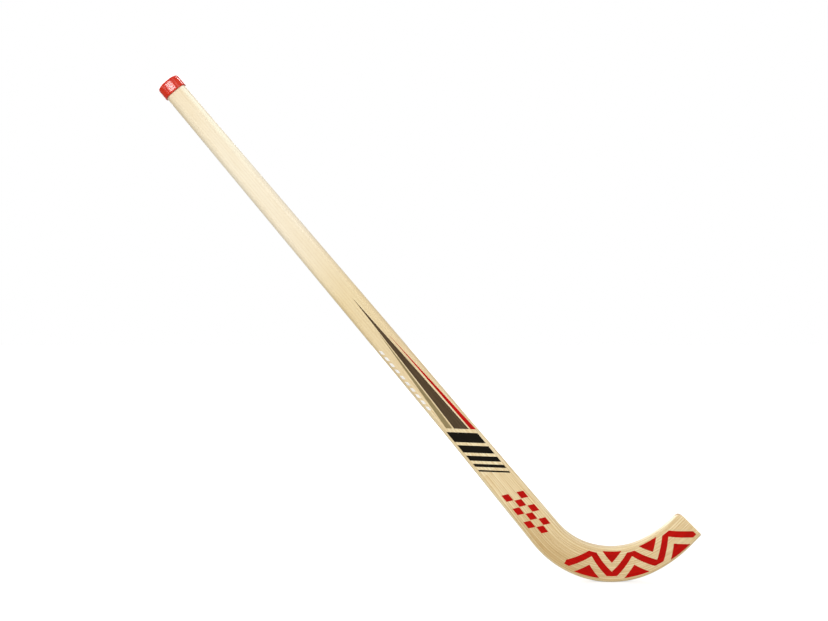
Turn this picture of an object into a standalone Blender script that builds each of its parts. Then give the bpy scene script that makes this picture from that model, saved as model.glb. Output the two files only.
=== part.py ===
"""Rink hockey stick: an ash handle, sawn into tongues below, with thin strips glued between the tongues and
the whole bent round to the toe, and a moulded cap on the butt.

The stick lies in the XZ plane, front face towards -Y, as it is held for play: the handle rises to the left
and the belly of the blade is lowest. The origin is on the front flat of the handle, at the grip. Metres.

A place on the stick is given by s, v and y. s runs along the centre line from the butt end of the wood to
the toe, v runs across it, positive towards the inside of the bend, and y runs backwards from the middle."""

import math

import bmesh
import bpy

# Centre line of the wood, from the butt end to the toe
HANDLE_LENGTH = 0.400
SET_BACK_LENGTH = 0.3935
SET_BACK_ANGLE = math.radians(-0.54)
HEEL_RADIUS = 0.1141
HEEL_ANGLE = math.radians(76.3)
BLADE_RADIUS = 0.166
BLADE_ANGLE = math.radians(19.3)
TOE_LENGTH = 0.0160
LEAN = math.radians(49.88)

# Where a hand or a rack clip holds the handle, from the butt end of the wood
GRIP_PLACE = 0.150

# Width across the face: at the butt, at the throat, where it starts to spread, at its widest and at the toe
BUTT_WIDTH = 0.0288
THROAT_WIDTH = 0.0385
BELLY_WIDTH = 0.0468
TOE_WIDTH = 0.0424
THROAT_ABOVE_HEEL = 0.1935
BELLY_BELOW_HEEL = 0.0865

# Thickness from front to back
HANDLE_THICKNESS = 0.0220
BELLY_THICKNESS = 0.0190
TOE_THICKNESS = 0.0170

# Rounding of the long edges
BUTT_ROUNDING = 0.0090
THROAT_ROUNDING = 0.0056
BELLY_ROUNDING = 0.0045

# Toe: a square cut with rounded corners and eased edges
TOE_INNER_CORNER = 0.0074
TOE_OUTER_CORNER = 0.0025
TOE_EASING = 0.0015
TOE_RUN = 0.030

# Butt end of the wood, planed down all round where the cap sits, with an eased end
CAP_SEAT = 0.0003
BUTT_EASING = 0.0012

# Kerfs, which start above the heel, and the strips glued into them
TONGUES = 15
KERF_ABOVE_HEEL = 0.1135
STRIP_THICKNESS = 0.00140
STRIP_TIP = 0.00085
GLUE_LINE = 0.0001
OUTER_TONGUE_AT_TOE = 0.0009

# End cap, whose end is domed like a superellipse of this power
CAP_SKIRT = 0.0168
CAP_WALL = 0.0021
CAP_FLOOR = 0.0026
CAP_BOND = 0.0002
CAP_DOME = 0.0054
DOME_POWER = 2.5
CAP_LIP = 0.0004

# Fineness of the facets
HANDLE_STEPS = 4
FAN_STEPS = 4
BEND_STEP = math.radians(4.0)
TOE_STEPS = 3
EASING_STEPS = 2
CORNER_STEPS = 6
DOME_STEPS = 9
EDGE_SHARES = (1.0, 0.96, 0.85, 0.67, 0.38)

FRONT = -1
BACK = 1

# The runs of the centre line, each a length and the angle that it turns through
RUNS = (
    (HANDLE_LENGTH, 0.0),
    (SET_BACK_LENGTH, SET_BACK_ANGLE),
    (HEEL_RADIUS * HEEL_ANGLE, HEEL_ANGLE),
    (BLADE_RADIUS * BLADE_ANGLE, BLADE_ANGLE),
    (TOE_LENGTH, 0.0),
)

LENGTH = sum(length for length, angle in RUNS)
HEEL_PLACE = HANDLE_LENGTH + SET_BACK_LENGTH
THROAT_PLACE = HEEL_PLACE - THROAT_ABOVE_HEEL
KERF_PLACE = HEEL_PLACE - KERF_ABOVE_HEEL
BELLY_PLACE = HEEL_PLACE + BELLY_BELOW_HEEL

# At the toe the strips and tongues fill the width
STRIPS = TONGUES - 1
FULL_KERF = STRIP_THICKNESS + 2 * GLUE_LINE
TONGUE_THICKNESS = (TOE_WIDTH - 2 * OUTER_TONGUE_AT_TOE - STRIPS * FULL_KERF) / (TONGUES - 2)

# Colour, roughness and metallic value
MATERIALS = {
    "ash": ((0.80, 0.66, 0.45), 0.35, 0.0),
    "strip_wood": ((0.70, 0.53, 0.33), 0.35, 0.0),
    "cap": ((0.62, 0.03, 0.02), 0.30, 0.0),
}


def clear_scene():
    for obj in list(bpy.data.objects):
        bpy.data.objects.remove(obj, do_unlink=True)


def material(name):
    colour, roughness, metallic = MATERIALS[name]
    made = bpy.data.materials.get(name) or bpy.data.materials.new(name)
    made.use_nodes = True
    shader = made.node_tree.nodes["Principled BSDF"]
    shader.inputs["Base Color"].default_value = (*colour, 1.0)
    shader.inputs["Roughness"].default_value = roughness
    shader.inputs["Metallic"].default_value = metallic
    return made


def mix(a, b, share):
    return a + (b - a) * share


def eased(share):
    """From 0 to 1 with a level start and end."""
    share = min(max(share, 0.0), 1.0)
    return share * share * (3.0 - 2.0 * share)


def centre_line(s):
    """x, z and heading of the centre line at s, from the butt; the last run goes on past the toe."""
    x = z = 0.0
    heading = -LEAN
    for number, (length, angle) in enumerate(RUNS):
        is_last = number == len(RUNS) - 1
        run = s if is_last else min(s, length)
        half_turn = angle * run / length / 2
        chord = run * math.sin(half_turn) / half_turn if half_turn else run
        x += chord * math.cos(heading + half_turn)
        z += chord * math.sin(heading + half_turn)
        heading += 2 * half_turn
        s -= run
    return x, z, heading


GRIP_X, GRIP_Z = centre_line(GRIP_PLACE)[:2]


def point(s, v, y):
    """World place of a point, with the origin on the front flat at the grip."""
    x, z, heading = centre_line(s)
    x -= v * math.sin(heading)
    z += v * math.cos(heading)
    return x - GRIP_X, y + HANDLE_THICKNESS / 2, z - GRIP_Z


def width(s):
    if s < THROAT_PLACE:
        return mix(BUTT_WIDTH, THROAT_WIDTH, s / THROAT_PLACE)
    if s < BELLY_PLACE:
        return mix(THROAT_WIDTH, BELLY_WIDTH, (s - THROAT_PLACE) / (BELLY_PLACE - THROAT_PLACE))
    past_belly = min((s - BELLY_PLACE) / (LENGTH - TOE_LENGTH - BELLY_PLACE), 1.0)
    return mix(BELLY_WIDTH, TOE_WIDTH, past_belly * past_belly)


def thickness(s):
    if s < BELLY_PLACE:
        thinned = eased((s - KERF_PLACE) / (BELLY_PLACE - KERF_PLACE))
        return mix(HANDLE_THICKNESS, BELLY_THICKNESS, thinned)
    return mix(BELLY_THICKNESS, TOE_THICKNESS, (s - BELLY_PLACE) / (LENGTH - BELLY_PLACE))


def rounding(s):
    """Radius of the long edges."""
    if s < THROAT_PLACE:
        return mix(BUTT_ROUNDING, THROAT_ROUNDING, s / THROAT_PLACE)
    return mix(THROAT_ROUNDING, BELLY_ROUNDING, eased((s - THROAT_PLACE) / (BELLY_PLACE - THROAT_PLACE)))


def corner_drop(from_side, radius):
    """How far a rounded corner lies back from the straight end, at a distance from the side."""
    short = radius - min(max(from_side, 0.0), radius)
    return radius - math.sqrt(radius * radius - short * short)


def half_thickness(s, v, depth=0.0):
    """Half the thickness at v, on the face or its rounded edge, planed all round by depth."""
    drop = corner_drop(width(s) / 2 - depth - abs(v), rounding(s) - depth)
    return thickness(s) / 2 - depth - drop


def toe_shift(v):
    """How far past LENGTH the toe reaches at v."""
    half = TOE_WIDTH / 2
    return -corner_drop(half - v, TOE_INNER_CORNER) - corner_drop(half + v, TOE_OUTER_CORNER)


def kerf_width(s):
    """Width of one kerf, opened by its strip from the tip to the full thickness."""
    opened = eased((s - KERF_PLACE) / KERF_ABOVE_HEEL)
    return mix(STRIP_TIP, STRIP_THICKNESS, opened) + 2 * GLUE_LINE


def kerf_sides(s):
    """The two v of each kerf, from the outside of the bend inwards."""
    kerf = kerf_width(s)
    pitch = TONGUE_THICKNESS + kerf
    sides = []
    for number in range(STRIPS):
        middle = (number - (STRIPS - 1) / 2) * pitch
        sides.append((middle - kerf / 2, middle + kerf / 2))
    return sides


def shaft_lines(s):
    """v of every lengthwise line of the shaft. Above the kerfs the lines narrow with the handle."""
    sawn = max(s, KERF_PLACE)
    narrowing = width(s) / width(sawn)
    middle = [v * narrowing for sides in kerf_sides(sawn) for v in sides]
    edge = [mix(middle[-1], width(s) / 2, share) for share in EDGE_SHARES]
    return [-v for v in edge] + middle + edge[::-1]


def is_kerf(cell):
    """Whether the cell between shaft lines number cell and cell + 1 is a kerf."""
    number, beside = divmod(cell - len(EDGE_SHARES), 2)
    return 0 <= number < STRIPS and beside == 0


def both_faces(s, v, easing=0.0):
    """The front and the back point at s and v."""
    half = half_thickness(s, v) - easing
    return [point(s, v, side * half) for side in (FRONT, BACK)]


def planed_section(s, depth):
    """A cross-section of the handle, planed down all round by depth."""
    narrowing = 1 - 2 * depth / width(s)
    section = []
    for v in shaft_lines(s):
        half = half_thickness(s, v * narrowing, depth)
        section.append([point(s, v * narrowing, side * half) for side in (FRONT, BACK)])
    return section


def handle_sections():
    """The cross-sections above the kerfs: the cap's seat, its shoulder and the plain handle."""
    seat_end = CAP_SKIRT + CAP_BOND
    seat = [(0.0, CAP_SEAT + BUTT_EASING), (BUTT_EASING, CAP_SEAT), (seat_end, CAP_SEAT)]
    plain = [(mix(seat_end, THROAT_PLACE, n / HANDLE_STEPS), 0.0) for n in range(HANDLE_STEPS + 1)]
    return [planed_section(s, depth) for s, depth in seat + plain]


def blade_places(start):
    """s of the cross-sections from start to the toe's run, closer together where the wood bends."""
    places = [mix(KERF_PLACE, HEEL_PLACE, n / FAN_STEPS) for n in range(1, FAN_STEPS + 1)]
    s = HEEL_PLACE
    for length, angle in RUNS[2:-1]:
        steps = math.ceil(angle / BEND_STEP)
        places += [s + length * n / steps for n in range(1, steps + 1)]
        s += length
    toe_run_start = LENGTH - TOE_EASING - TOE_RUN
    return [start] + [place for place in places if start < place < toe_run_start]


def toe_rows():
    """The last cross-sections: s, the share of the toe's shift, and the easing of the face edges."""
    eased_from = LENGTH - TOE_EASING
    rows = []
    for n in range(TOE_STEPS + 1):
        share = n / TOE_STEPS
        rows.append((eased_from - TOE_RUN * (1 - share), share, 0.0))
    for n in range(1, EASING_STEPS + 1):
        angle = math.pi / 2 * n / EASING_STEPS
        easing = TOE_EASING * (1 - math.cos(angle))
        rows.append((eased_from + TOE_EASING * math.sin(angle), 1.0, easing))
    return rows


def blade_sections(start, lines):
    """The cross-sections from start to the toe, with points where lines(s) says."""
    sections = [[both_faces(s, v) for v in lines(s)] for s in blade_places(start)]
    ends = lines(LENGTH)
    for s, share, easing in toe_rows():
        section = []
        for number, end in enumerate(ends):
            at = s + share * toe_shift(end)
            section.append(both_faces(at, lines(at)[number], easing))
        sections.append(section)
    return sections


def layered_body(sections, is_open):
    """Closed surface round the cells between cross-sections, less those that is_open(span, cell) names."""
    bm = bmesh.new()
    verts = [[[bm.verts.new(place) for place in pair] for pair in section] for section in sections]
    spans = len(sections) - 1
    cells = len(sections[0]) - 1

    def is_solid(span, cell):
        return 0 <= span < spans and 0 <= cell < cells and not is_open(span, cell)

    for span in range(spans):
        for cell in range(cells):
            if is_solid(span, cell):
                for face in (0, 1):
                    near = [verts[span][cell][face], verts[span][cell + 1][face]]
                    far = [verts[span + 1][cell + 1][face], verts[span + 1][cell][face]]
                    bm.faces.new(near + far)
        for line in range(cells + 1):
            if is_solid(span, line - 1) != is_solid(span, line):
                bm.faces.new(verts[span][line] + verts[span + 1][line][::-1])
    for row in range(spans + 1):
        for cell in range(cells):
            if is_solid(row - 1, cell) != is_solid(row, cell):
                bm.faces.new(verts[row][cell] + verts[row][cell + 1][::-1])
    return bm


def new_object(name, bm, material_name):
    """An object from bm, smooth across its rounded faces and sharp at its real edges."""
    bmesh.ops.recalc_face_normals(bm, faces=bm.faces)
    mesh = bpy.data.meshes.new(name)
    bm.to_mesh(mesh)
    bm.free()
    mesh.shade_smooth()
    mesh.set_sharp_from_angle(angle=math.radians(30))
    mesh.materials.append(material(material_name))
    obj = bpy.data.objects.new(name, mesh)
    bpy.context.scene.collection.objects.link(obj)
    return obj


def make_shaft():
    """The handle and its tongues, in one piece."""
    handle = handle_sections()
    sections = handle + blade_sections(KERF_PLACE, shaft_lines)
    bm = layered_body(sections, lambda span, cell: span >= len(handle) and is_kerf(cell))
    return new_object("shaft", bm, "ash")


def make_strip(number):
    """The strip in one kerf, counted from the outside of the bend."""

    def lines(s):
        low, high = kerf_sides(s)[number]
        return [low + GLUE_LINE, high - GLUE_LINE]

    bm = layered_body(blade_sections(KERF_PLACE + GLUE_LINE, lines), lambda span, cell: False)
    return new_object(f"strip_{number + 1:02d}", bm, "strip_wood")


def section_ring(s, growth, scale=1.0):
    """v and y round the wood's section at s, grown outwards all round and then scaled about its middle."""
    radius = rounding(s) + growth
    side = width(s) / 2 + growth - radius
    face = thickness(s) / 2 + growth - radius
    ring = []
    for corner, (toward_v, toward_y) in enumerate(((1, 1), (-1, 1), (-1, -1), (1, -1))):
        for n in range(CORNER_STEPS + 1):
            angle = math.pi / 2 * (corner + n / CORNER_STEPS)
            v = toward_v * side + radius * math.cos(angle)
            y = toward_y * face + radius * math.sin(angle)
            ring.append((v * scale, y * scale))
    return ring


def cap_outside():
    """Rings of the cap, each s and its points: the domed end, the skirt and the lip."""
    outside = CAP_BOND - CAP_SEAT + CAP_WALL
    end = -CAP_BOND - CAP_FLOOR
    rings = []
    for n in range(1, DOME_STEPS + 1):
        angle = math.pi / 2 * n / DOME_STEPS
        scale = math.sin(angle) ** (2 / DOME_POWER)
        back = CAP_DOME * (1 - math.cos(angle) ** (2 / DOME_POWER))
        rings.append((end + back, section_ring(0.0, outside, scale)))
    rings.append((CAP_SKIRT - CAP_LIP, section_ring(CAP_SKIRT, outside)))
    rings.append((CAP_SKIRT, section_ring(CAP_SKIRT, outside - CAP_LIP)))
    return rings


def cap_inside():
    """Rings of the socket that the eased butt of the wood fills."""
    inside = CAP_BOND - CAP_SEAT
    return [
        (CAP_SKIRT, section_ring(CAP_SKIRT, inside)),
        (BUTT_EASING - CAP_BOND, section_ring(0.0, inside)),
        (-CAP_BOND, section_ring(0.0, inside - BUTT_EASING)),
    ]


def make_cap():
    """The moulded cap, open towards the wood."""
    bm = bmesh.new()
    loops = []
    for s, ring in cap_outside() + cap_inside():
        loops.append([bm.verts.new(point(s, v, y)) for v, y in ring])
    for near, far in zip(loops, loops[1:]):
        for n in range(len(near)):
            bm.faces.new((near[n - 1], near[n], far[n], far[n - 1]))
    bm.faces.new(loops[0])
    bm.faces.new(loops[-1])
    return new_object("end_cap", bm, "cap")


def main():
    clear_scene()
    make_shaft()
    for number in range(STRIPS):
        make_strip(number)
    make_cap()


main()
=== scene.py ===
"""Looks of a rink hockey stick: lacquered ash with inlaid strips, printed bands and a moulded red cap.

Places on the stick are s, v and y, in metres: s along the centre line from the butt end of the wood,
v across the face, positive towards the inside of the bend, and y from the middle of the thickness to
the back."""

import math

import bmesh
import bpy
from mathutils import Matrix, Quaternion, Vector


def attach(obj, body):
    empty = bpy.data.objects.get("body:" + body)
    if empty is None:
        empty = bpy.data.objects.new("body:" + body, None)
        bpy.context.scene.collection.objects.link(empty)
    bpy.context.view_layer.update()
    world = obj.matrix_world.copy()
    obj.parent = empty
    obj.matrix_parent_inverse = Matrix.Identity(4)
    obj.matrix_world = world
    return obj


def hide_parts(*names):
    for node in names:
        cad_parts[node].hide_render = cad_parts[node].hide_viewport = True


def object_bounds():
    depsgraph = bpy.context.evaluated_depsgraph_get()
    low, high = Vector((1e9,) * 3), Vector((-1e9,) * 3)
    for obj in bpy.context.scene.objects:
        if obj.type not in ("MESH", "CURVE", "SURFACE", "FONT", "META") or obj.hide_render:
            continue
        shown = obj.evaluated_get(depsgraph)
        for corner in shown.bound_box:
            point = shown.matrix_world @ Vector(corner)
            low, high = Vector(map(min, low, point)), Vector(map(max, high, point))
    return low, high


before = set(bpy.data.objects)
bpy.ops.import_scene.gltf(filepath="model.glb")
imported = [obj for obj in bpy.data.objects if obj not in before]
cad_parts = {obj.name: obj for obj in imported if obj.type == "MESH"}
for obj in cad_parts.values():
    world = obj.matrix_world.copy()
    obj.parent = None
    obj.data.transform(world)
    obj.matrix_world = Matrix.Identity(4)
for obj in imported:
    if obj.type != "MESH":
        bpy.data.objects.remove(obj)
CAD_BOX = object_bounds()

# Centre line: runs of a length and the angle that each turns through
LEAN = math.radians(49.88)
RUNS = (
    (0.400, 0.0),
    (0.3935, math.radians(-0.54)),
    (0.1141 * math.radians(76.3), math.radians(76.3)),
    (0.166 * math.radians(19.3), math.radians(19.3)),
    (0.0160, 0.0),
)
LENGTH = sum(length for length, angle in RUNS)
GRIP_PLACE = 0.150
THROAT_PLACE = 0.600
KERF_PLACE = 0.680
HEEL_PLACE = 0.7935
BELLY_PLACE = 0.880
TOE_PLACE = LENGTH - RUNS[-1][0]
TOE_EASING = 0.0015
TOE_RUN = 0.030

# Width, thickness and rounding of the long edges at the butt, throat, belly and toe
BUTT_WIDTH, THROAT_WIDTH, BELLY_WIDTH, TOE_WIDTH = 0.0288, 0.0385, 0.0468, 0.0424
HANDLE_THICKNESS, BELLY_THICKNESS, TOE_THICKNESS = 0.0220, 0.0190, 0.0170
BUTT_ROUNDING, THROAT_ROUNDING, BELLY_ROUNDING = 0.0090, 0.0056, 0.0045
TOE_INNER_CORNER, TOE_OUTER_CORNER = 0.0074, 0.0025

# Kerfs and the strips in them
STRIPS = 14
STRIP_THICKNESS, STRIP_TIP = 0.00140, 0.00085
GLUE_LINE = 0.0001
OUTER_TONGUE_AT_TOE = 0.0009
KERFS_AT_TOE = STRIPS * (STRIP_THICKNESS + 2 * GLUE_LINE)
TONGUE_THICKNESS = (TOE_WIDTH - 2 * OUTER_TONGUE_AT_TOE - KERFS_AT_TOE) / (STRIPS - 1)
STRIP_CLEARANCE = 0.00001

# End cap
CAP_SEAT, BUTT_EASING = 0.0003, 0.0012
CAP_SKIRT, CAP_WALL, CAP_FLOOR, CAP_BOND = 0.0168, 0.0021, 0.0026, 0.0002
CAP_DOME, DOME_POWER, CAP_LIP = 0.0054, 2.5, 0.0004
CAP_CROWN = 0.022

# Printed films: their two faces above the wood, and the drawing's unit, start and margin
FILM_BACK, FILM_FACE = 0.00002, 0.00009
PRINT_SCALE, PRINT_START = 0.00135, 0.0095
PRINT_MARGIN = 0.0003

FRONT, BACK = -1, 1
WHITE = (1.0, 1.0, 1.0, 1.0)


def mix(a, b, share):
    return a + (b - a) * share


def eased(share):
    share = min(max(share, 0.0), 1.0)
    return share * share * (3.0 - 2.0 * share)


def centre_line(s):
    """x, z and heading of the centre line at s."""
    x = z = 0.0
    heading = -LEAN
    for number, (length, angle) in enumerate(RUNS):
        run = s if number == len(RUNS) - 1 else min(s, length)
        half_turn = angle * run / length / 2
        chord = run * math.sin(half_turn) / half_turn if half_turn else run
        x += chord * math.cos(heading + half_turn)
        z += chord * math.sin(heading + half_turn)
        heading += 2 * half_turn
        s -= run
    return x, z, heading


GRIP_X, GRIP_Z = centre_line(GRIP_PLACE)[:2]


def point(s, v, y):
    """World place of a point of the stick."""
    x, z, heading = centre_line(s)
    x -= v * math.sin(heading)
    z += v * math.cos(heading)
    return x - GRIP_X, y + HANDLE_THICKNESS / 2, z - GRIP_Z


def width(s):
    if s < THROAT_PLACE:
        return mix(BUTT_WIDTH, THROAT_WIDTH, s / THROAT_PLACE)
    if s < BELLY_PLACE:
        return mix(THROAT_WIDTH, BELLY_WIDTH, (s - THROAT_PLACE) / (BELLY_PLACE - THROAT_PLACE))
    past_belly = min((s - BELLY_PLACE) / (TOE_PLACE - BELLY_PLACE), 1.0)
    return mix(BELLY_WIDTH, TOE_WIDTH, past_belly * past_belly)


def thickness(s):
    if s < BELLY_PLACE:
        share = eased((s - KERF_PLACE) / (BELLY_PLACE - KERF_PLACE))
        return mix(HANDLE_THICKNESS, BELLY_THICKNESS, share)
    return mix(BELLY_THICKNESS, TOE_THICKNESS, (s - BELLY_PLACE) / (LENGTH - BELLY_PLACE))


def rounding(s):
    if s < THROAT_PLACE:
        return mix(BUTT_ROUNDING, THROAT_ROUNDING, s / THROAT_PLACE)
    share = eased((s - THROAT_PLACE) / (BELLY_PLACE - THROAT_PLACE))
    return mix(THROAT_ROUNDING, BELLY_ROUNDING, share)


def corner_drop(from_side, radius):
    """How far a rounded corner falls away from the flat at a distance from the side."""
    short = radius - min(max(from_side, 0.0), radius)
    return radius - math.sqrt(radius * radius - short * short)


def half_thickness(s, v, depth=0.0):
    """Half the thickness at v, planed all round by depth."""
    drop = corner_drop(width(s) / 2 - depth - abs(v), rounding(s) - depth)
    return thickness(s) / 2 - depth - drop


def toe_shift(v):
    """How far past LENGTH the toe reaches at v."""
    half = TOE_WIDTH / 2
    return -corner_drop(half - v, TOE_INNER_CORNER) - corner_drop(half + v, TOE_OUTER_CORNER)


def kerf_sides(s):
    """The two v of each kerf, from the outside of the bend inwards."""
    opened = eased((s - KERF_PLACE) / (HEEL_PLACE - KERF_PLACE))
    kerf = mix(STRIP_TIP, STRIP_THICKNESS, opened) + 2 * GLUE_LINE
    pitch = TONGUE_THICKNESS + kerf
    middles = [(number - (STRIPS - 1) / 2) * pitch for number in range(STRIPS)]
    return [(middle - kerf / 2, middle + kerf / 2) for middle in middles]


# Cross-sections of the wood, as lists of points (s, v, half thickness, v in the uncut wood)

EDGE_CELLS = 8
HANDLE_STEPS, KERF_STEPS, TOE_STEPS, EASING_STEPS = 32, 18, 8, 4
BEND_STEP = math.radians(2.0)
SEAT_END = CAP_SKIRT + CAP_BOND
SHOULDER = 0.00012  # length of the step where the planed seat of the cap ends


def edge_lines(s, start):
    """v of the lines from the last kerf to the long edge, evenly spaced round the rounding."""
    half, radius = width(s) / 2, rounding(s)
    first = math.asin(max(0.0, 1 - (half - start) / radius))
    turns = [mix(first, math.pi / 2, n / EDGE_CELLS) for n in range(1, EDGE_CELLS + 1)]
    return [half - radius * (1 - math.sin(turn)) for turn in turns]


def bar_lines(s):
    """v and uncut v of each lengthwise line of the bar, with one line midway in each tongue and kerf."""
    sawn = max(s, KERF_PLACE)
    narrowing = width(s) / width(sawn)
    sides = [v * narrowing for pair in kerf_sides(sawn) for v in pair]
    uncut = sides if s < KERF_PLACE else [v for pair in kerf_sides(KERF_PLACE) for v in pair]
    lines = [(sides[0], uncut[0])]
    for n in range(1, len(sides)):
        lines.append(((sides[n - 1] + sides[n]) / 2, (uncut[n - 1] + uncut[n]) / 2))
        lines.append((sides[n], uncut[n]))
    edge = [(v, uncut[-1] + v - sides[-1]) for v in edge_lines(s, sides[-1])]
    return [(-v, -u) for v, u in edge[::-1]] + lines + edge


def strip_lines(number):
    """The lines of one strip, as a function of s, nearly filling its kerf."""
    def lines(s):
        low, high = kerf_sides(s)[number]
        low += STRIP_CLEARANCE
        high -= STRIP_CLEARANCE
        return [(mix(low, high, share), mix(low, high, share)) for share in (0.0, 0.5, 1.0)]
    return lines


def is_kerf(cell):
    number = (cell - EDGE_CELLS) // 2
    return 0 <= number < 2 * STRIPS - 1 and number % 2 == 0


def planed(s, depth):
    """A cross-section of the handle, planed by depth all round."""
    scale = 1 - 2 * depth / width(s)
    return [(s, v * scale, half_thickness(s, v * scale, depth), u * scale) for v, u in bar_lines(s)]


def handle_sections():
    """The cross-sections from the butt to the start of the kerfs."""
    sections = [planed(0.0, CAP_SEAT + BUTT_EASING), planed(BUTT_EASING, CAP_SEAT)]
    sections.append(planed(SEAT_END, CAP_SEAT))
    places = [mix(SEAT_END + SHOULDER, KERF_PLACE, n / HANDLE_STEPS) for n in range(HANDLE_STEPS)]
    return sections + [planed(place, 0.0) for place in places]


def blade_places():
    """s of the cross-sections from the start of the kerfs to the toe's run."""
    places = [mix(KERF_PLACE, HEEL_PLACE, n / KERF_STEPS) for n in range(KERF_STEPS + 1)]
    s = HEEL_PLACE
    for length, angle in RUNS[2:-1]:
        count = math.ceil(angle / BEND_STEP)
        places += [s + length * n / count for n in range(1, count + 1)]
        s += length
    return [place for place in places if place < LENGTH - TOE_EASING - TOE_RUN]


def toe_rows():
    """The last cross-sections: s, the share of the toe's shift, and the easing of the faces."""
    eased_from = LENGTH - TOE_EASING
    shares = [n / TOE_STEPS for n in range(TOE_STEPS + 1)]
    rows = [(eased_from - TOE_RUN * (1 - share), share, 0.0) for share in shares]
    for n in range(1, EASING_STEPS + 1):
        turn = math.pi / 2 * n / EASING_STEPS
        rows.append((eased_from + TOE_EASING * math.sin(turn), 1.0, TOE_EASING * (1 - math.cos(turn))))
    return rows


def blade_sections(lines):
    """The cross-sections from the start of the kerfs to the toe, of the bar or of one strip."""
    sections = [[(s, v, half_thickness(s, v), u) for v, u in lines(s)] for s in blade_places()]
    ends = [v for v, u in lines(LENGTH)]
    for s, share, easing in toe_rows():
        section = []
        for number, end in enumerate(ends):
            at = s + share * toe_shift(end)
            v, u = lines(at)[number]
            section.append((at, v, half_thickness(at, v) - easing, u))
        sections.append(section)
    return sections


# Meshes

GRAIN_SHIFTS = (0.71, 0.013, 0.007)  # from the grain of one strip to the next


def set_attribute(mesh, name, kind, values):
    attribute = mesh.attributes.new(name, kind, "POINT")
    key = "vector" if kind == "FLOAT_VECTOR" else "value"
    for item, value in zip(attribute.data, values):
        setattr(item, key, value)


def finish_mesh(name, points, faces, attributes, material, sharp=35.0):
    """A piece of the object from points and faces, riding on the stick."""
    mesh = bpy.data.meshes.new(name)
    mesh.from_pydata(points, [], faces)
    for key, (kind, values) in attributes.items():
        set_attribute(mesh, key, kind, values)
    shell = bmesh.new()
    shell.from_mesh(mesh)
    bmesh.ops.recalc_face_normals(shell, faces=shell.faces)
    shell.to_mesh(mesh)
    shell.free()
    mesh.shade_smooth()
    mesh.set_sharp_from_angle(angle=math.radians(sharp))
    mesh.materials.append(material)
    piece = bpy.data.objects.new(name, mesh)
    bpy.context.scene.collection.objects.link(piece)
    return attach(piece, "root")


def layered(sections, is_open):
    """Faces, as loops of corners, of a body that fills the cells between its cross-sections' lines.

    is_open(row, cell) says that a cell is empty. A corner is (row, line, side)."""
    rows, cells = len(sections) - 1, len(sections[0]) - 1

    def solid(row, cell):
        return 0 <= row < rows and 0 <= cell < cells and not is_open(row, cell)

    faces = []
    for row in range(rows + 1):
        for cell in range(cells + 1):
            here, last = solid(row, cell), solid(row - 1, cell)
            if here:
                for side in (FRONT, BACK):
                    faces.append([(row, cell, side), (row + 1, cell, side),
                                  (row + 1, cell + 1, side), (row, cell + 1, side)])
            if here != solid(row, cell - 1):
                faces.append([(row, cell, FRONT), (row + 1, cell, FRONT),
                              (row + 1, cell, BACK), (row, cell, BACK)])
            if here != last:
                faces.append([(row, cell, FRONT), (row, cell + 1, FRONT),
                              (row, cell + 1, BACK), (row, cell, BACK)])
    return faces


def wood_piece(name, sections, is_open, material, seed=0, is_strip=False):
    """A body of wood with its place in the grain and on the stick as attributes."""
    numbers, points, grain, where, across, end = {}, [], [], [], [], []
    faces = []
    for corners in layered(sections, is_open):
        face = []
        for corner in corners:
            if corner not in numbers:
                row, line, side = corner
                s, v, half, uncut = sections[row][line]
                numbers[corner] = len(points)
                points.append(point(s, v, side * half))
                place = (s, uncut, side * half)
                grain.append([at + shift * seed for at, shift in zip(place, GRAIN_SHIFTS)])
                where.append((s, 2 * v / width(s), 2 * side * half / thickness(s)))
                across.append(line / (len(sections[0]) - 1))
                end.append(float(row == len(sections) - 1))
            face.append(numbers[corner])
        faces.append(face)
    attributes = {"grain": ("FLOAT_VECTOR", grain), "where": ("FLOAT_VECTOR", where),
                  "end": ("FLOAT", end)}
    if is_strip:
        attributes["across"] = ("FLOAT", across)
    return finish_mesh(name, points, faces, attributes, material)


# Node materials

def srgb(red, green, blue):
    """Linear colour of a colour given in the 0 to 255 of a screen."""
    linear = []
    for value in (red, green, blue):
        share = value / 255
        linear.append(share / 12.92 if share <= 0.04045 else ((share + 0.055) / 1.055) ** 2.4)
    return (*linear, 1.0)


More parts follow.
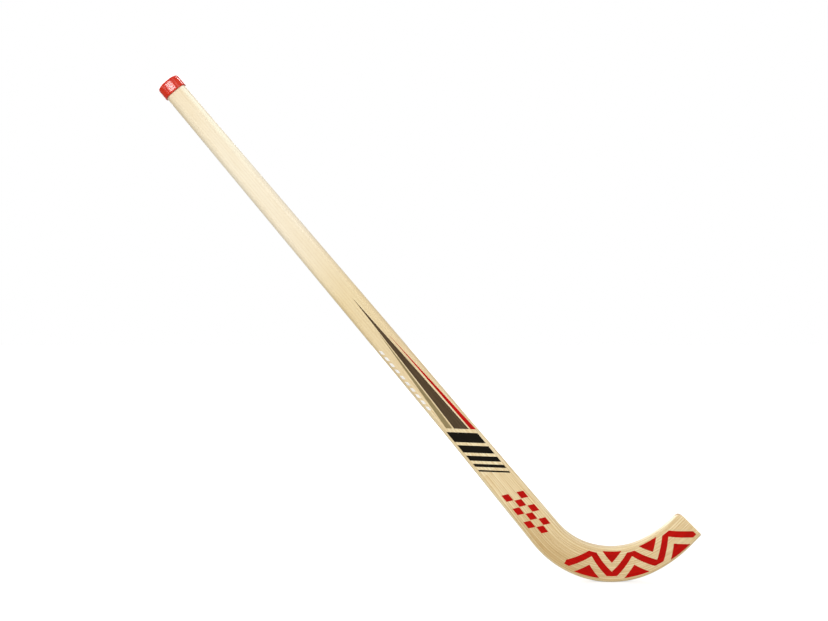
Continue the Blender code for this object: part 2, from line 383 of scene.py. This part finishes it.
class Nodes:
    """The node tree of one material."""

    def __init__(self, name):
        self.material = bpy.data.materials.new(name)
        self.material.use_nodes = True
        self.tree = self.material.node_tree
        self.tree.nodes.clear()

    def add(self, kind, inputs=(), out=0, **settings):
        """A node with its settings and inputs, by name or number; gives one of its outputs."""
        made = self.tree.nodes.new(kind)
        for key, value in settings.items():
            setattr(made, key, value)
        for key, value in dict(inputs).items():
            if isinstance(value, bpy.types.NodeSocket):
                self.tree.links.new(value, made.inputs[key])
            else:
                made.inputs[key].default_value = value
        return made.outputs[out] if made.outputs else None

    def attribute(self, name, out="Vector"):
        return self.add("ShaderNodeAttribute", attribute_name=name, out=out)

    def part(self, vector, axis):
        return self.add("ShaderNodeSeparateXYZ", {0: vector}, out=axis)

    def stretched(self, vector, scale):
        return self.add("ShaderNodeVectorMath", {0: vector, 1: scale}, operation="MULTIPLY")

    def maths(self, operation, a, b=0.0, c=0.0):
        return self.add("ShaderNodeMath", {0: a, 1: b, 2: c}, operation=operation)

    def product(self, first, *others):
        for other in others:
            first = self.maths("MULTIPLY", first, other)
        return first

    def noise(self, vector, detail=2.0, roughness=0.5):
        inputs = {"Vector": vector, "Scale": 1.0, "Detail": detail, "Roughness": roughness}
        return self.add("ShaderNodeTexNoise", inputs, out="Fac")

    def span(self, value, start, end, low=0.0, high=1.0, kind="SMOOTHSTEP"):
        inputs = {0: value, 1: start, 2: end, 3: low, 4: high}
        return self.add("ShaderNodeMapRange", inputs, interpolation_type=kind)

    def ramp(self, value, stops):
        made = self.tree.nodes.new("ShaderNodeValToRGB")
        band = made.color_ramp
        band.elements[0].position, band.elements[1].position = stops[0][0], stops[-1][0]
        for place, colour in stops[1:-1]:
            band.elements.new(place)
        for element, (place, colour) in zip(band.elements, stops):
            element.color = colour
        self.tree.links.new(value, made.inputs[0])
        return made.outputs[0]

    def tint(self, share, colour, by, kind="MULTIPLY"):
        """The colour blended with another by a share."""
        inputs = {0: share, 6: colour, 7: by}
        return self.add("ShaderNodeMix", inputs, out=2, data_type="RGBA", blend_type=kind)

    def bump(self, height, strength, distance):
        return self.add("ShaderNodeBump", {"Height": height, "Strength": strength, "Distance": distance})

    def close(self, **inputs):
        """The Principled shader with these inputs, and the output."""
        named = {key.replace("_", " "): value for key, value in inputs.items()}
        shader = self.add("ShaderNodeBsdfPrincipled", named)
        self.add("ShaderNodeOutputMaterial", {0: shader})
        return self.material


RING_SPACING, RING_WANDER = 0.0040, 17.0
FIBRES = (24.0, 750.0, 750.0)
PORE_TONE = srgb(190, 160, 118)
WOOD_TONE_AND_SHEEN_STOPS = (  # tones by the place along the stick; the paler upper handle is partly the wood's own tone and partly a painted sheen
    (0.00, srgb(238, 222, 188)),
    (0.16, srgb(248, 238, 214)),
    (0.26, srgb(248, 236, 210)),
    (0.38, srgb(236, 216, 170)),
    (0.50, srgb(236, 216, 174)),
    (0.72, srgb(255, 241, 202)),
    (0.85, srgb(255, 241, 202)),
)


def wood(name, strip_shade=None):
    """Lacquered ash: rings, pores and fibres along the grain, tones along the stick, and painted sheen,
    shade and highlight.
    """
    nodes = Nodes(name)
    grain, where = nodes.attribute("grain"), nodes.attribute("where")
    along, side = nodes.part(where, 0), nodes.part(where, 1)
    wander = nodes.noise(nodes.stretched(grain, (2.4, 55.0, 55.0)))
    turns = nodes.maths("MULTIPLY_ADD", nodes.part(grain, 1), math.tau / RING_SPACING,
                        nodes.product(wander, RING_WANDER))
    ring = nodes.span(nodes.maths("SINE", turns), -0.5, 1.0)
    fibre = nodes.noise(nodes.stretched(grain, FIBRES), detail=3.0, roughness=0.6)
    pores = nodes.noise(nodes.stretched(grain, (190.0, 2400.0, 2400.0)), detail=1.0)
    patch = nodes.noise(nodes.stretched(grain, (6.0, 40.0, 40.0)))

    # Tones along the stick, with a painted sheen on the upper handle; rings, patches, fibres and pores,
    # all but the patches fainter on the handle
    colour = nodes.ramp(along, WOOD_TONE_AND_SHEEN_STOPS)
    colour = nodes.tint(nodes.span(along, 0.30, 0.75, 0.10, 0.42), colour,
                        nodes.ramp(ring, ((0.0, WHITE), (1.0, srgb(226, 206, 172)))))
    colour = nodes.tint(nodes.span(patch, 0.3, 0.7, 0.0, 0.5), colour, srgb(248, 242, 230))
    shown = nodes.product(nodes.span(fibre, 0.35, 0.7), nodes.span(along, 0.30, 0.75, 0.16, 0.75))
    colour = nodes.tint(shown, colour, srgb(236, 222, 196))
    sunk = nodes.product(nodes.span(pores, 0.54, 0.70), nodes.span(ring, 0.3, 0.9, 0.10, 0.38),
                         nodes.span(along, 0.35, 0.75, 0.3, 1.0))
    colour = nodes.tint(sunk, colour, PORE_TONE)

    # Painted shade: darker towards the outside of the bend, but for its rim
    outside = nodes.product(nodes.span(along, 0.70, 0.81), nodes.span(along, 0.83, 0.93, 1.0, 0.35),
                            nodes.span(side, 0.5, -0.85, 0.2, 1.0, kind="LINEAR"),
                            nodes.span(side, -0.92, -0.80))
    colour = nodes.tint(outside, colour, srgb(220, 207, 182))

    # Painted shade: greyer along the inner edge
    inside = nodes.product(nodes.span(along, 0.08, 0.26), nodes.span(along, 0.85, 0.93, 1.0, 0.4),
                           nodes.span(side, 0.66, 0.98))
    colour = nodes.tint(inside, colour, srgb(242, 241, 242))

    # Painted highlight: a pale band beside the inner edge near the butt
    painted_highlight = nodes.product(nodes.span(along, 0.09, 0.19, 1.0, 0.0), nodes.span(side, 0.5, 0.78, 0.0, 0.8),
                          nodes.span(side, 0.84, 0.95, 1.0, 0.0))
    colour = nodes.tint(painted_highlight, colour, srgb(255, 250, 224), kind="MIX")

    end = nodes.attribute("end", "Fac")
    colour = nodes.tint(nodes.product(end, 0.75), colour, srgb(214, 186, 146))
    if strip_shade:
        border = nodes.maths("ABSOLUTE", nodes.maths("SUBTRACT", nodes.attribute("across", "Fac"), 0.5))
        colour = nodes.tint(1.0, colour, strip_shade)
        colour = nodes.tint(nodes.span(border, 0.34, 0.48, 0.0, 0.6), colour, PORE_TONE)
    height = nodes.maths("SUBTRACT", nodes.product(fibre, 0.5), sunk)
    return nodes.close(
        Base_Color=colour, Roughness=nodes.span(fibre, 0.2, 0.8, 0.40, 0.50),
        Normal=nodes.bump(height, 0.3, 0.00006), Coat_Weight=0.20, Coat_Roughness=0.34,
        Coat_Normal=nodes.bump(patch, 0.15, 0.0003))


def ink(name, colour, deep):
    """Printed ink: it lies on the fibres, a little thinner on their ridges."""
    nodes = Nodes(name)
    grain = nodes.attribute("grain")
    fibre = nodes.noise(nodes.stretched(grain, FIBRES), detail=3.0, roughness=0.6)
    cloud = nodes.noise(nodes.stretched(grain, (60.0, 160.0, 160.0)), detail=3.0)
    laid = nodes.tint(nodes.span(fibre, 0.35, 0.7), colour, deep, kind="MIX")
    laid = nodes.tint(nodes.span(cloud, 0.3, 0.7, 0.0, 0.5), laid, srgb(230, 228, 226))
    return nodes.close(
        Base_Color=laid, Roughness=nodes.span(fibre, 0.2, 0.8, 0.36, 0.48), Specular_IOR_Level=0.08,
        Normal=nodes.bump(fibre, 0.3, 0.00004))


def moulded(name):
    """Glossy moulded plastic with faint flow lines, a fine grain and dull scuffs."""
    nodes = Nodes(name)
    grain = nodes.attribute("grain")
    flow = nodes.noise(nodes.stretched(grain, (140.0, 90.0, 90.0)), detail=3.0)
    grit = nodes.noise(nodes.stretched(grain, (1500.0, 1500.0, 1500.0)))
    scuff = nodes.noise(nodes.stretched(grain, (60.0, 170.0, 170.0)))
    colour = nodes.tint(nodes.span(flow, 0.3, 0.7), srgb(214, 46, 10), srgb(202, 36, 5), kind="MIX")
    colour = nodes.tint(nodes.span(scuff, 0.55, 0.75, 0.0, 0.25), colour, srgb(222, 74, 38), kind="MIX")
    return nodes.close(
        Base_Color=colour, Roughness=nodes.span(scuff, 0.35, 0.7, 0.145, 0.165), Specular_IOR_Level=0.30,
        Normal=nodes.bump(grit, 0.05, 0.00002))


# The wood

ash = wood("ash")
inlay = wood("inlay", srgb(242, 232, 216))

bar_sections = handle_sections()
handle_rows = len(bar_sections)
bar_sections += blade_sections(bar_lines)
bar = wood_piece("bar", bar_sections, lambda row, cell: row >= handle_rows and is_kerf(cell), ash)
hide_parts("shaft")

for number in range(STRIPS):
    label = f"{number + 1:02d}"
    strip = wood_piece(f"inlay_{label}", blade_sections(strip_lines(number)), lambda row, cell: False,
                       inlay, seed=number + 1, is_strip=True)
    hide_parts(f"strip_{label}")


# The cap

CORNER_STEPS, FLAT_STEPS = 10, 8
DOME_STEPS, SKIRT_STEPS, LIP_STEPS = 24, 6, 4


def section_ring(s, growth, scale=1.0, crown=0.0):
    """v and y round the wood's section at s, grown outwards, scaled about its middle and crowned."""
    radius = rounding(s) + growth
    side = width(s) / 2 + growth - radius
    face = thickness(s) / 2 + growth - radius
    ring = []
    for corner, (toward_v, toward_y) in enumerate(((1, 1), (-1, 1), (-1, -1), (1, -1))):
        for n in range(CORNER_STEPS + 1):
            turn = math.pi / 2 * (corner + n / CORNER_STEPS)
            ring.append((toward_v * side + radius * math.cos(turn),
                         toward_y * face + radius * math.sin(turn)))
        if toward_v == toward_y:
            v, y = ring[-1]
            ring += [(mix(v, -v, n / FLAT_STEPS), y) for n in range(1, FLAT_STEPS)]
    return [(v * scale, y * scale * (1 - crown * (v / (side + radius)) ** 2)) for v, y in ring]


def cap_rings():
    """Rings from the middle of the cap's domed end over its skirt, round the lip and into the socket."""
    outside = CAP_BOND - CAP_SEAT + CAP_WALL
    end = -CAP_BOND - CAP_FLOOR
    rings = []
    for n in range(1, DOME_STEPS + 1):
        turn = math.pi / 2 * n / DOME_STEPS
        scale = math.sin(turn) ** (2 / DOME_POWER)
        back = CAP_DOME * (1 - math.cos(turn) ** (2 / DOME_POWER))
        rings.append((end + back, section_ring(0.0, outside, scale, CAP_CROWN)))
    for n in range(1, SKIRT_STEPS + 1):
        share = n / SKIRT_STEPS
        s = mix(end + CAP_DOME, CAP_SKIRT - CAP_LIP, share)
        rings.append((s, section_ring(CAP_SKIRT * share, outside, crown=CAP_CROWN)))
    for n in range(1, LIP_STEPS + 1):
        turn = math.pi / 2 * n / LIP_STEPS
        s = CAP_SKIRT - CAP_LIP * (1 - math.sin(turn))
        growth = outside - CAP_LIP * (1 - math.cos(turn))
        rings.append((s, section_ring(CAP_SKIRT, growth, crown=CAP_CROWN)))
    inside = CAP_BOND - CAP_SEAT
    rings.append((CAP_SKIRT, section_ring(CAP_SKIRT, inside)))
    rings.append((BUTT_EASING - CAP_BOND, section_ring(0.0, inside)))
    rings.append((-CAP_BOND, section_ring(0.0, inside - BUTT_EASING)))
    return rings


def make_cap():
    points, grain, faces = [], [], []
    rings = cap_rings()
    count = len(rings[0][1])
    for s, ring in rings:
        points += [point(s, v, y) for v, y in ring]
        grain += [(s, v, y) for v, y in ring]
    for row in range(len(rings) - 1):
        for n in range(count):
            a, b = row * count + n, row * count + (n + 1) % count
            faces.append([a, b, b + count, a + count])
    for start, s in ((0, rings[0][0]), (len(points) - count, rings[-1][0])):
        middle = len(points)
        points.append(point(s, 0.0, 0.0))
        grain.append((s, 0.0, 0.0))
        faces += [[start + n, start + (n + 1) % count, middle] for n in range(count)]
    attributes = {"grain": ("FLOAT_VECTOR", grain)}
    return finish_mesh("cap", points, faces, attributes, moulded("cap_plastic"), sharp=40.0)


cap = make_cap()
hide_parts("end_cap")


# The printed bands, drawn as outlines in a drawing unit along and across the stick

SHEAR, CHECKS_SHEAR = 0.9, 0.5
CUT, DASHES_START, CHECKS_START, ZIGZAG_START = 444.0, 344.0, 527.0, 611.0


def slanted(start, v, shear=SHEAR):
    return start + shear * v, v


def slab(start, end, low, high, shear=SHEAR):
    """A slanted shape with four sides."""
    return [slanted(start, low, shear), slanted(end, low, shear),
            slanted(end, high, shear), slanted(start, high, shear)]


def wedge(tip, low, high):
    """A long taper from a tip to the slanted cut."""
    return [tip, slanted(CUT, low), slanted(CUT, high)]


def bars():
    """Slanted bars that get thinner down the handle."""
    shapes = []
    start, gap, reach = CUT + 5.0, 4.0, 11.5
    for thick in (13.0, 9.5, 6.5, 4.0, 2.2):
        shapes.append(slab(start, start + thick, -reach, reach))
        start += thick + gap
    return shapes


def checks():
    """Three rows of sheared checks."""
    shapes = []
    along, across, gap = 8.6, 6.8, 0.25
    for column in range(6):
        for row in range(3):
            if (column + row) % 2:
                continue
            start, low = CHECKS_START + along * column + gap, (row - 1.5) * across + gap
            end, high = start + along - 2 * gap, low + across - 2 * gap
            shapes.append(slab(start, end, low, high, CHECKS_SHEAR))
    return shapes


def zigzag():
    """A zigzag band round the blade, with a tooth in each of its gaps."""
    shapes = []
    pitch, reach, thick, base, apex = 22.0, 11.0, 4.5, 13.6, 2.3
    turns = [(ZIGZAG_START + pitch * n, reach if n % 2 else -reach) for n in range(7)]
    for (s, v), (next_s, next_v) in zip(turns, turns[1:]):
        rise = thick if next_v > v else -thick
        shapes.append([(s, v), (s + thick, v), (next_s, next_v - rise), (next_s, next_v),
                       (next_s - thick, next_v), (s, v + rise)])
    for s, v in turns[1:-1]:
        way = -1 if v > 0 else 1
        shapes.append([(s - base + apex, way * base), (s + base - apex, way * base), (s, way * apex)])
    return shapes


def dashes():
    """A row of small slanted dashes."""
    pitch, length = 8.0, 4.6
    starts = [DASHES_START + pitch * n for n in range(10)]
    return [slab(start, start + length, -11.4, -9.0) for start in starts]


RED = (srgb(200, 14, 4), srgb(176, 8, 3))
PRINTS = (  # name, outlines, colour and its deeper tone
    ("brown_wedge", [wedge((276.0, 2.6), -3.4, 7.6)], srgb(91, 74, 53), srgb(78, 62, 43)),
    ("khaki_wedge", [wedge((318.0, 0.2), -9.3, -4.6)], srgb(158, 141, 100), srgb(142, 125, 86)),
    ("red_wedge", [wedge((326.0, 6.6), 8.8, 12.8)], *RED),
    ("white_dashes", dashes(), srgb(255, 254, 250), srgb(250, 247, 241)),
    ("black_bars", bars(), srgb(22, 17, 8), srgb(15, 11, 5)),
    ("red_checks", checks(), *RED),
    ("red_zigzag", zigzag(), *RED),
)

# Cells of a film along the handle, round the blade and across the rounded edges, which start at EDGES_FROM
HANDLE_CELL, BLADE_CELL, EDGE_CELL = 0.012, 0.003, 0.0008
EDGES_FROM = 0.0095
GRAIN_DEPTH = 0.01
MERGE, CUT_SLACK = 1e-6, 1e-7


def film_point(s, v, side, lift):
    """A point lifted off the wood's surface, square to it."""
    radius = rounding(s)
    short = min(max(abs(v) - (width(s) / 2 - radius), 0.0), radius)
    lean = short / radius
    outwards = math.copysign(lean * lift, v)
    return point(s, v + outwards, side * (half_thickness(s, v) + lift * math.sqrt(1 - lean * lean)))


def cut_up(flat, axis, places):
    """Cuts a flat drawing across at each of the places."""
    normal = Vector((1, 0, 0)) if axis == 0 else Vector((0, 1, 0))
    for place in places:
        geometry = flat.verts[:] + flat.edges[:] + flat.faces[:]
        bmesh.ops.bisect_plane(flat, geom=geometry, dist=CUT_SLACK, plane_co=normal * place,
                               plane_no=normal)


def steps(low, high, step):
    """The whole multiples of step from low to high."""
    return [n * step for n in range(math.ceil(low / step), math.floor(high / step) + 1)]


def drawing(outlines):
    """The outlines as a flat mesh in s and v, in cells small enough to lie on the wood."""
    flat = bmesh.new()
    for outline in outlines:
        corners = []
        for s, v in outline:
            place = PRINT_START + PRINT_SCALE * s
            reach = width(place) / 2 - PRINT_MARGIN
            corners.append(flat.verts.new((place, min(max(PRINT_SCALE * v, -reach), reach), 0.0)))
        flat.faces.new(corners)
    bmesh.ops.remove_doubles(flat, verts=flat.verts, dist=MERGE)
    places = [vert.co.x for vert in flat.verts]
    low, high = min(places), max(places)
    cut_up(flat, 0, steps(low, min(high, HEEL_PLACE), HANDLE_CELL))
    cut_up(flat, 0, steps(max(low, HEEL_PLACE), high, BLADE_CELL))
    reach = max(abs(vert.co.y) for vert in flat.verts)
    cut_up(flat, 1, [place for place in steps(-reach, reach, EDGE_CELL) if abs(place) > EDGES_FROM])
    return flat


def film(name, outlines, side, material):
    """A thin closed film of ink on one face of the stick."""
    flat = drawing(outlines)
    flat.verts.index_update()
    corners = [(vert.co.x, vert.co.y) for vert in flat.verts]
    count = len(corners)
    points = [film_point(s, v, side, FILM_FACE) for s, v in corners]
    points += [film_point(s, v, side, FILM_BACK) for s, v in corners]
    faces = []
    for face in flat.faces:
        loop = [vert.index for vert in face.verts]
        faces += [loop, [count + n for n in loop[::-1]]]
    for edge in flat.edges:
        if len(edge.link_faces) == 1:
            a, b = (vert.index for vert in edge.verts)
            faces.append([a, b, b + count, a + count])
    flat.free()
    grain = [(s, v, side * GRAIN_DEPTH) for s, v in corners] * 2
    piece = finish_mesh(name, points, faces, {"grain": ("FLOAT_VECTOR", grain)}, material)
    return piece


for name, outlines, colour, deep in PRINTS:
    material = ink(name, colour, deep)
    for side, label in ((FRONT, "front"), (BACK, "back")):
        film(f"{name}_{label}", outlines, side, material)


# Studio

CENTRE = Vector((0.2565, 0.011, -0.2167))  # of the stick, which the lamps face
CAMERA_X, CAMERA_Z, CAMERA_BACK = 0.23535, -0.19263, 1.8
SENSOR, HALF_VIEW = 36.0, 0.5589
FLOOR_HALF, FLOOR_MIDDLE, SHADOW_END, WHITE_FROM = 12.0, 0.30, 0.5, 1.6


def add_camera():
    data = bpy.data.cameras.new("camera")
    data.sensor_width = SENSOR
    data.lens = SENSOR / 2 / (HALF_VIEW / CAMERA_BACK)
    camera = bpy.data.objects.new("camera", data)
    camera.location = (CAMERA_X, HANDLE_THICKNESS / 2 - CAMERA_BACK, CAMERA_Z)
    camera.rotation_euler = (math.pi / 2, 0.0, 0.0)
    bpy.context.scene.collection.objects.link(camera)
    bpy.context.scene.camera = camera


def add_light(name, direction, distance, size, level, length=None, turn=0.0):
    """A soft lamp, square or a strip, with this level of light on a surface that faces it, 1 for full."""
    data = bpy.data.lights.new(name, "AREA")
    data.shape = "RECTANGLE"
    data.size = size
    data.size_y = length or size
    data.energy = level * (math.pi * distance) ** 2
    lamp = bpy.data.objects.new(name, data)
    toward = Vector(direction).normalized()
    lamp.location = CENTRE + toward * distance
    aim = (-toward).to_track_quat("-Z", "Y") @ Quaternion((0.0, 0.0, 1.0), math.radians(turn))
    lamp.rotation_euler = aim.to_euler()
    lamp.visible_camera = False
    bpy.context.scene.collection.objects.link(lamp)


def add_world(level):
    """White where a ray from the camera or a gloss meets it, and a plain fill otherwise."""
    world = bpy.data.worlds.new("studio")
    world.use_nodes = True
    tree = world.node_tree
    tree.nodes.clear()
    path = tree.nodes.new("ShaderNodeLightPath")
    seen = path.outputs["Is Camera Ray"]
    for name in ("Is Glossy Ray", "Is Transmission Ray"):
        either = tree.nodes.new("ShaderNodeMath")
        either.operation = "MAXIMUM"
        tree.links.new(seen, either.inputs[0])
        tree.links.new(path.outputs[name], either.inputs[1])
        seen = either.outputs[0]
    choice = tree.nodes.new("ShaderNodeMixShader")
    output = tree.nodes.new("ShaderNodeOutputWorld")
    tree.links.new(seen, choice.inputs[0])
    for number, strength in ((1, level), (2, 1.0)):
        sky = tree.nodes.new("ShaderNodeBackground")
        sky.inputs["Color"].default_value = WHITE
        sky.inputs["Strength"].default_value = strength
        tree.links.new(sky.outputs[0], choice.inputs[number])
    tree.links.new(choice.outputs[0], output.inputs[0])
    bpy.context.scene.world = world


def add_floor():
    """A pale floor that takes the shadow near the stick and is plain white farther off."""
    mesh = bpy.data.meshes.new("floor")
    level = CAD_BOX[0].z
    corners = [(x * FLOOR_HALF, y * FLOOR_HALF, level) for x, y in ((-1, -1), (1, -1), (1, 1), (-1, 1))]
    mesh.from_pydata(corners, [], [(0, 1, 2, 3)])
    nodes = Nodes("floor")
    place = nodes.add("ShaderNodeNewGeometry", out="Position")
    away = nodes.add("ShaderNodeVectorMath", {0: place, 1: (FLOOR_MIDDLE, 0.0, level)}, out="Value",
                     operation="DISTANCE")
    far = nodes.span(away, SHADOW_END, WHITE_FROM)
    tone = nodes.noise(nodes.stretched(place, (3.0, 3.0, 3.0)))
    colour = nodes.tint(nodes.span(tone, 0.3, 0.7), srgb(196, 196, 196), srgb(192, 192, 192), kind="MIX")
    seen = nodes.add("ShaderNodeLightPath", out="Is Camera Ray")
    shine = nodes.maths("MULTIPLY", seen, nodes.span(far, 0.0, 1.0, 0.66, 1.0))
    diffuse = nodes.add("ShaderNodeBsdfDiffuse", {"Color": colour})
    glow = nodes.add("ShaderNodeEmission", {"Color": WHITE, "Strength": shine})
    surface = nodes.add("ShaderNodeAddShader", {0: diffuse, 1: glow})
    nodes.add("ShaderNodeOutputMaterial", {0: surface})
    mesh.materials.append(nodes.material)
    floor = bpy.data.objects.new("floor", mesh)
    bpy.context.scene.collection.objects.link(floor)


add_camera()
add_world(0.51)
add_floor()
add_light("key", (0.28, -0.87, 0.40), 3.6, 2.1, 0.27)
add_light("fill", (-0.72, -0.68, -0.06), 3.6, 1.8, 0.31)
add_light("low", (0.60, -0.75, -0.10), 2.2, 1.0, 0.13)
add_light("rim", (0.39, 0.19, 0.90), 2.3, 0.25, 0.14)
add_light("back_key", (-0.35, 0.85, 0.40), 3.0, 1.8, 0.46)
add_light("strip", (-0.74, -1.91, 0.71), 2.16, 0.11, 0.12, length=0.42, turn=40.0)

bpy.context.scene.view_settings.view_transform = "Standard"
